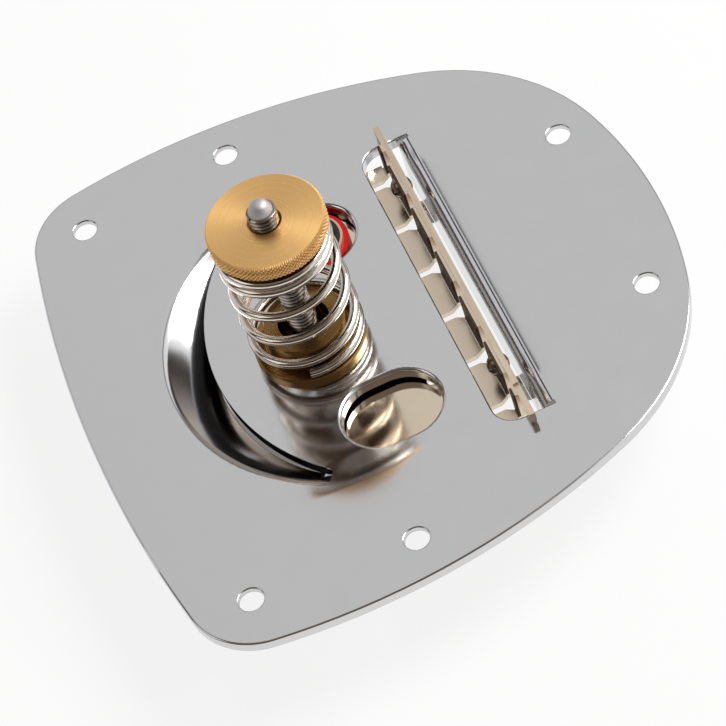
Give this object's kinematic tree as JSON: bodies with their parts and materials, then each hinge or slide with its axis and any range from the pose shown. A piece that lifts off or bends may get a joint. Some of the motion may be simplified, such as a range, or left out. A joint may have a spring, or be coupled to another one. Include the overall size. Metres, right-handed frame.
{
  "type": "guitar tremolo bridge",
  "caption": "Floating guitar tremolo tailpiece: chromed base plate, string lever on a knife-edge pivot, spring post with knurled brass tension nut, and socket for a tremolo arm.",
  "frame": {"origin": "On the underside of the base plate, midway between the middle pair of screw holes.", "axes": "X runs to the front, where the strings leave. Y runs to the side with the arm socket. Z points out of the underside along the spring post, into the guitar body."},
  "size_m": [0.0986, 0.1034, 0.0519],
  "materials": {
    "plate_chrome": "polished chrome plate",
    "turned_brass": "satin turned brass",
    "lever_nickel": "polished nickel plate",
    "pivot_steel": "bare ground steel",
    "rivet_steel": "dark plated steel",
    "screw_steel": "zinc plated steel",
    "spring_nickel": "bright nickel plated spring wire",
    "black_nylon": "black moulded nylon",
    "red_nylon": "red moulded nylon"
  },
  "bodies": {
    "base": {"base_plate": "plate_chrome", "spring_collar": "turned_brass"},
    "lever": {"lever_plate": "lever_nickel", "pivot_plate": "pivot_steel", "pivot_rivets": "rivet_steel", "screw_cup": "plate_chrome", "arm_socket": "plate_chrome", "arm_bushing": "black_nylon", "socket_washer": "red_nylon", "socket_clip": "pivot_steel"},
    "screw": {"tension_screw": "screw_steel"},
    "spring": {"tension_spring": "spring_nickel"},
    "nut": {"tension_nut": "turned_brass"}
  },
  "joints": [
    {"name": "lever_tilt", "type": "hinge", "parent": "base", "child": "lever", "pos_m": [0.02625, 0, -0.0076], "axis": [0, -1, 0], "range_deg": [-0.8, 6], "stiffness_Nm_per_rad": 2.3},
    {"name": "screw_lift", "type": "slide", "parent": "base", "child": "screw", "axis": [0, 0, -1], "range_m": [-0.0005, 0.0029], "deforming": ["tension_spring"]},
    {"name": "nut_travel", "type": "slide", "parent": "screw", "child": "spring", "axis": [0, 0, 1], "range_m": [-0.00085, 0.00085]},
    {"name": "nut_turn", "type": "hinge", "parent": "spring", "child": "nut", "pos_m": [-0.0009, 0, 0.0286], "axis": [0, 0, 1], "range_deg": [-360, 360]}
  ],
  "couplings": [
    {"joint": "screw_lift", "follows": "lever_tilt", "m_per_rad": 0.02715},
    {"joint": "nut_travel", "follows": "nut_turn", "m_per_rad": 0.00012732}
  ]
}
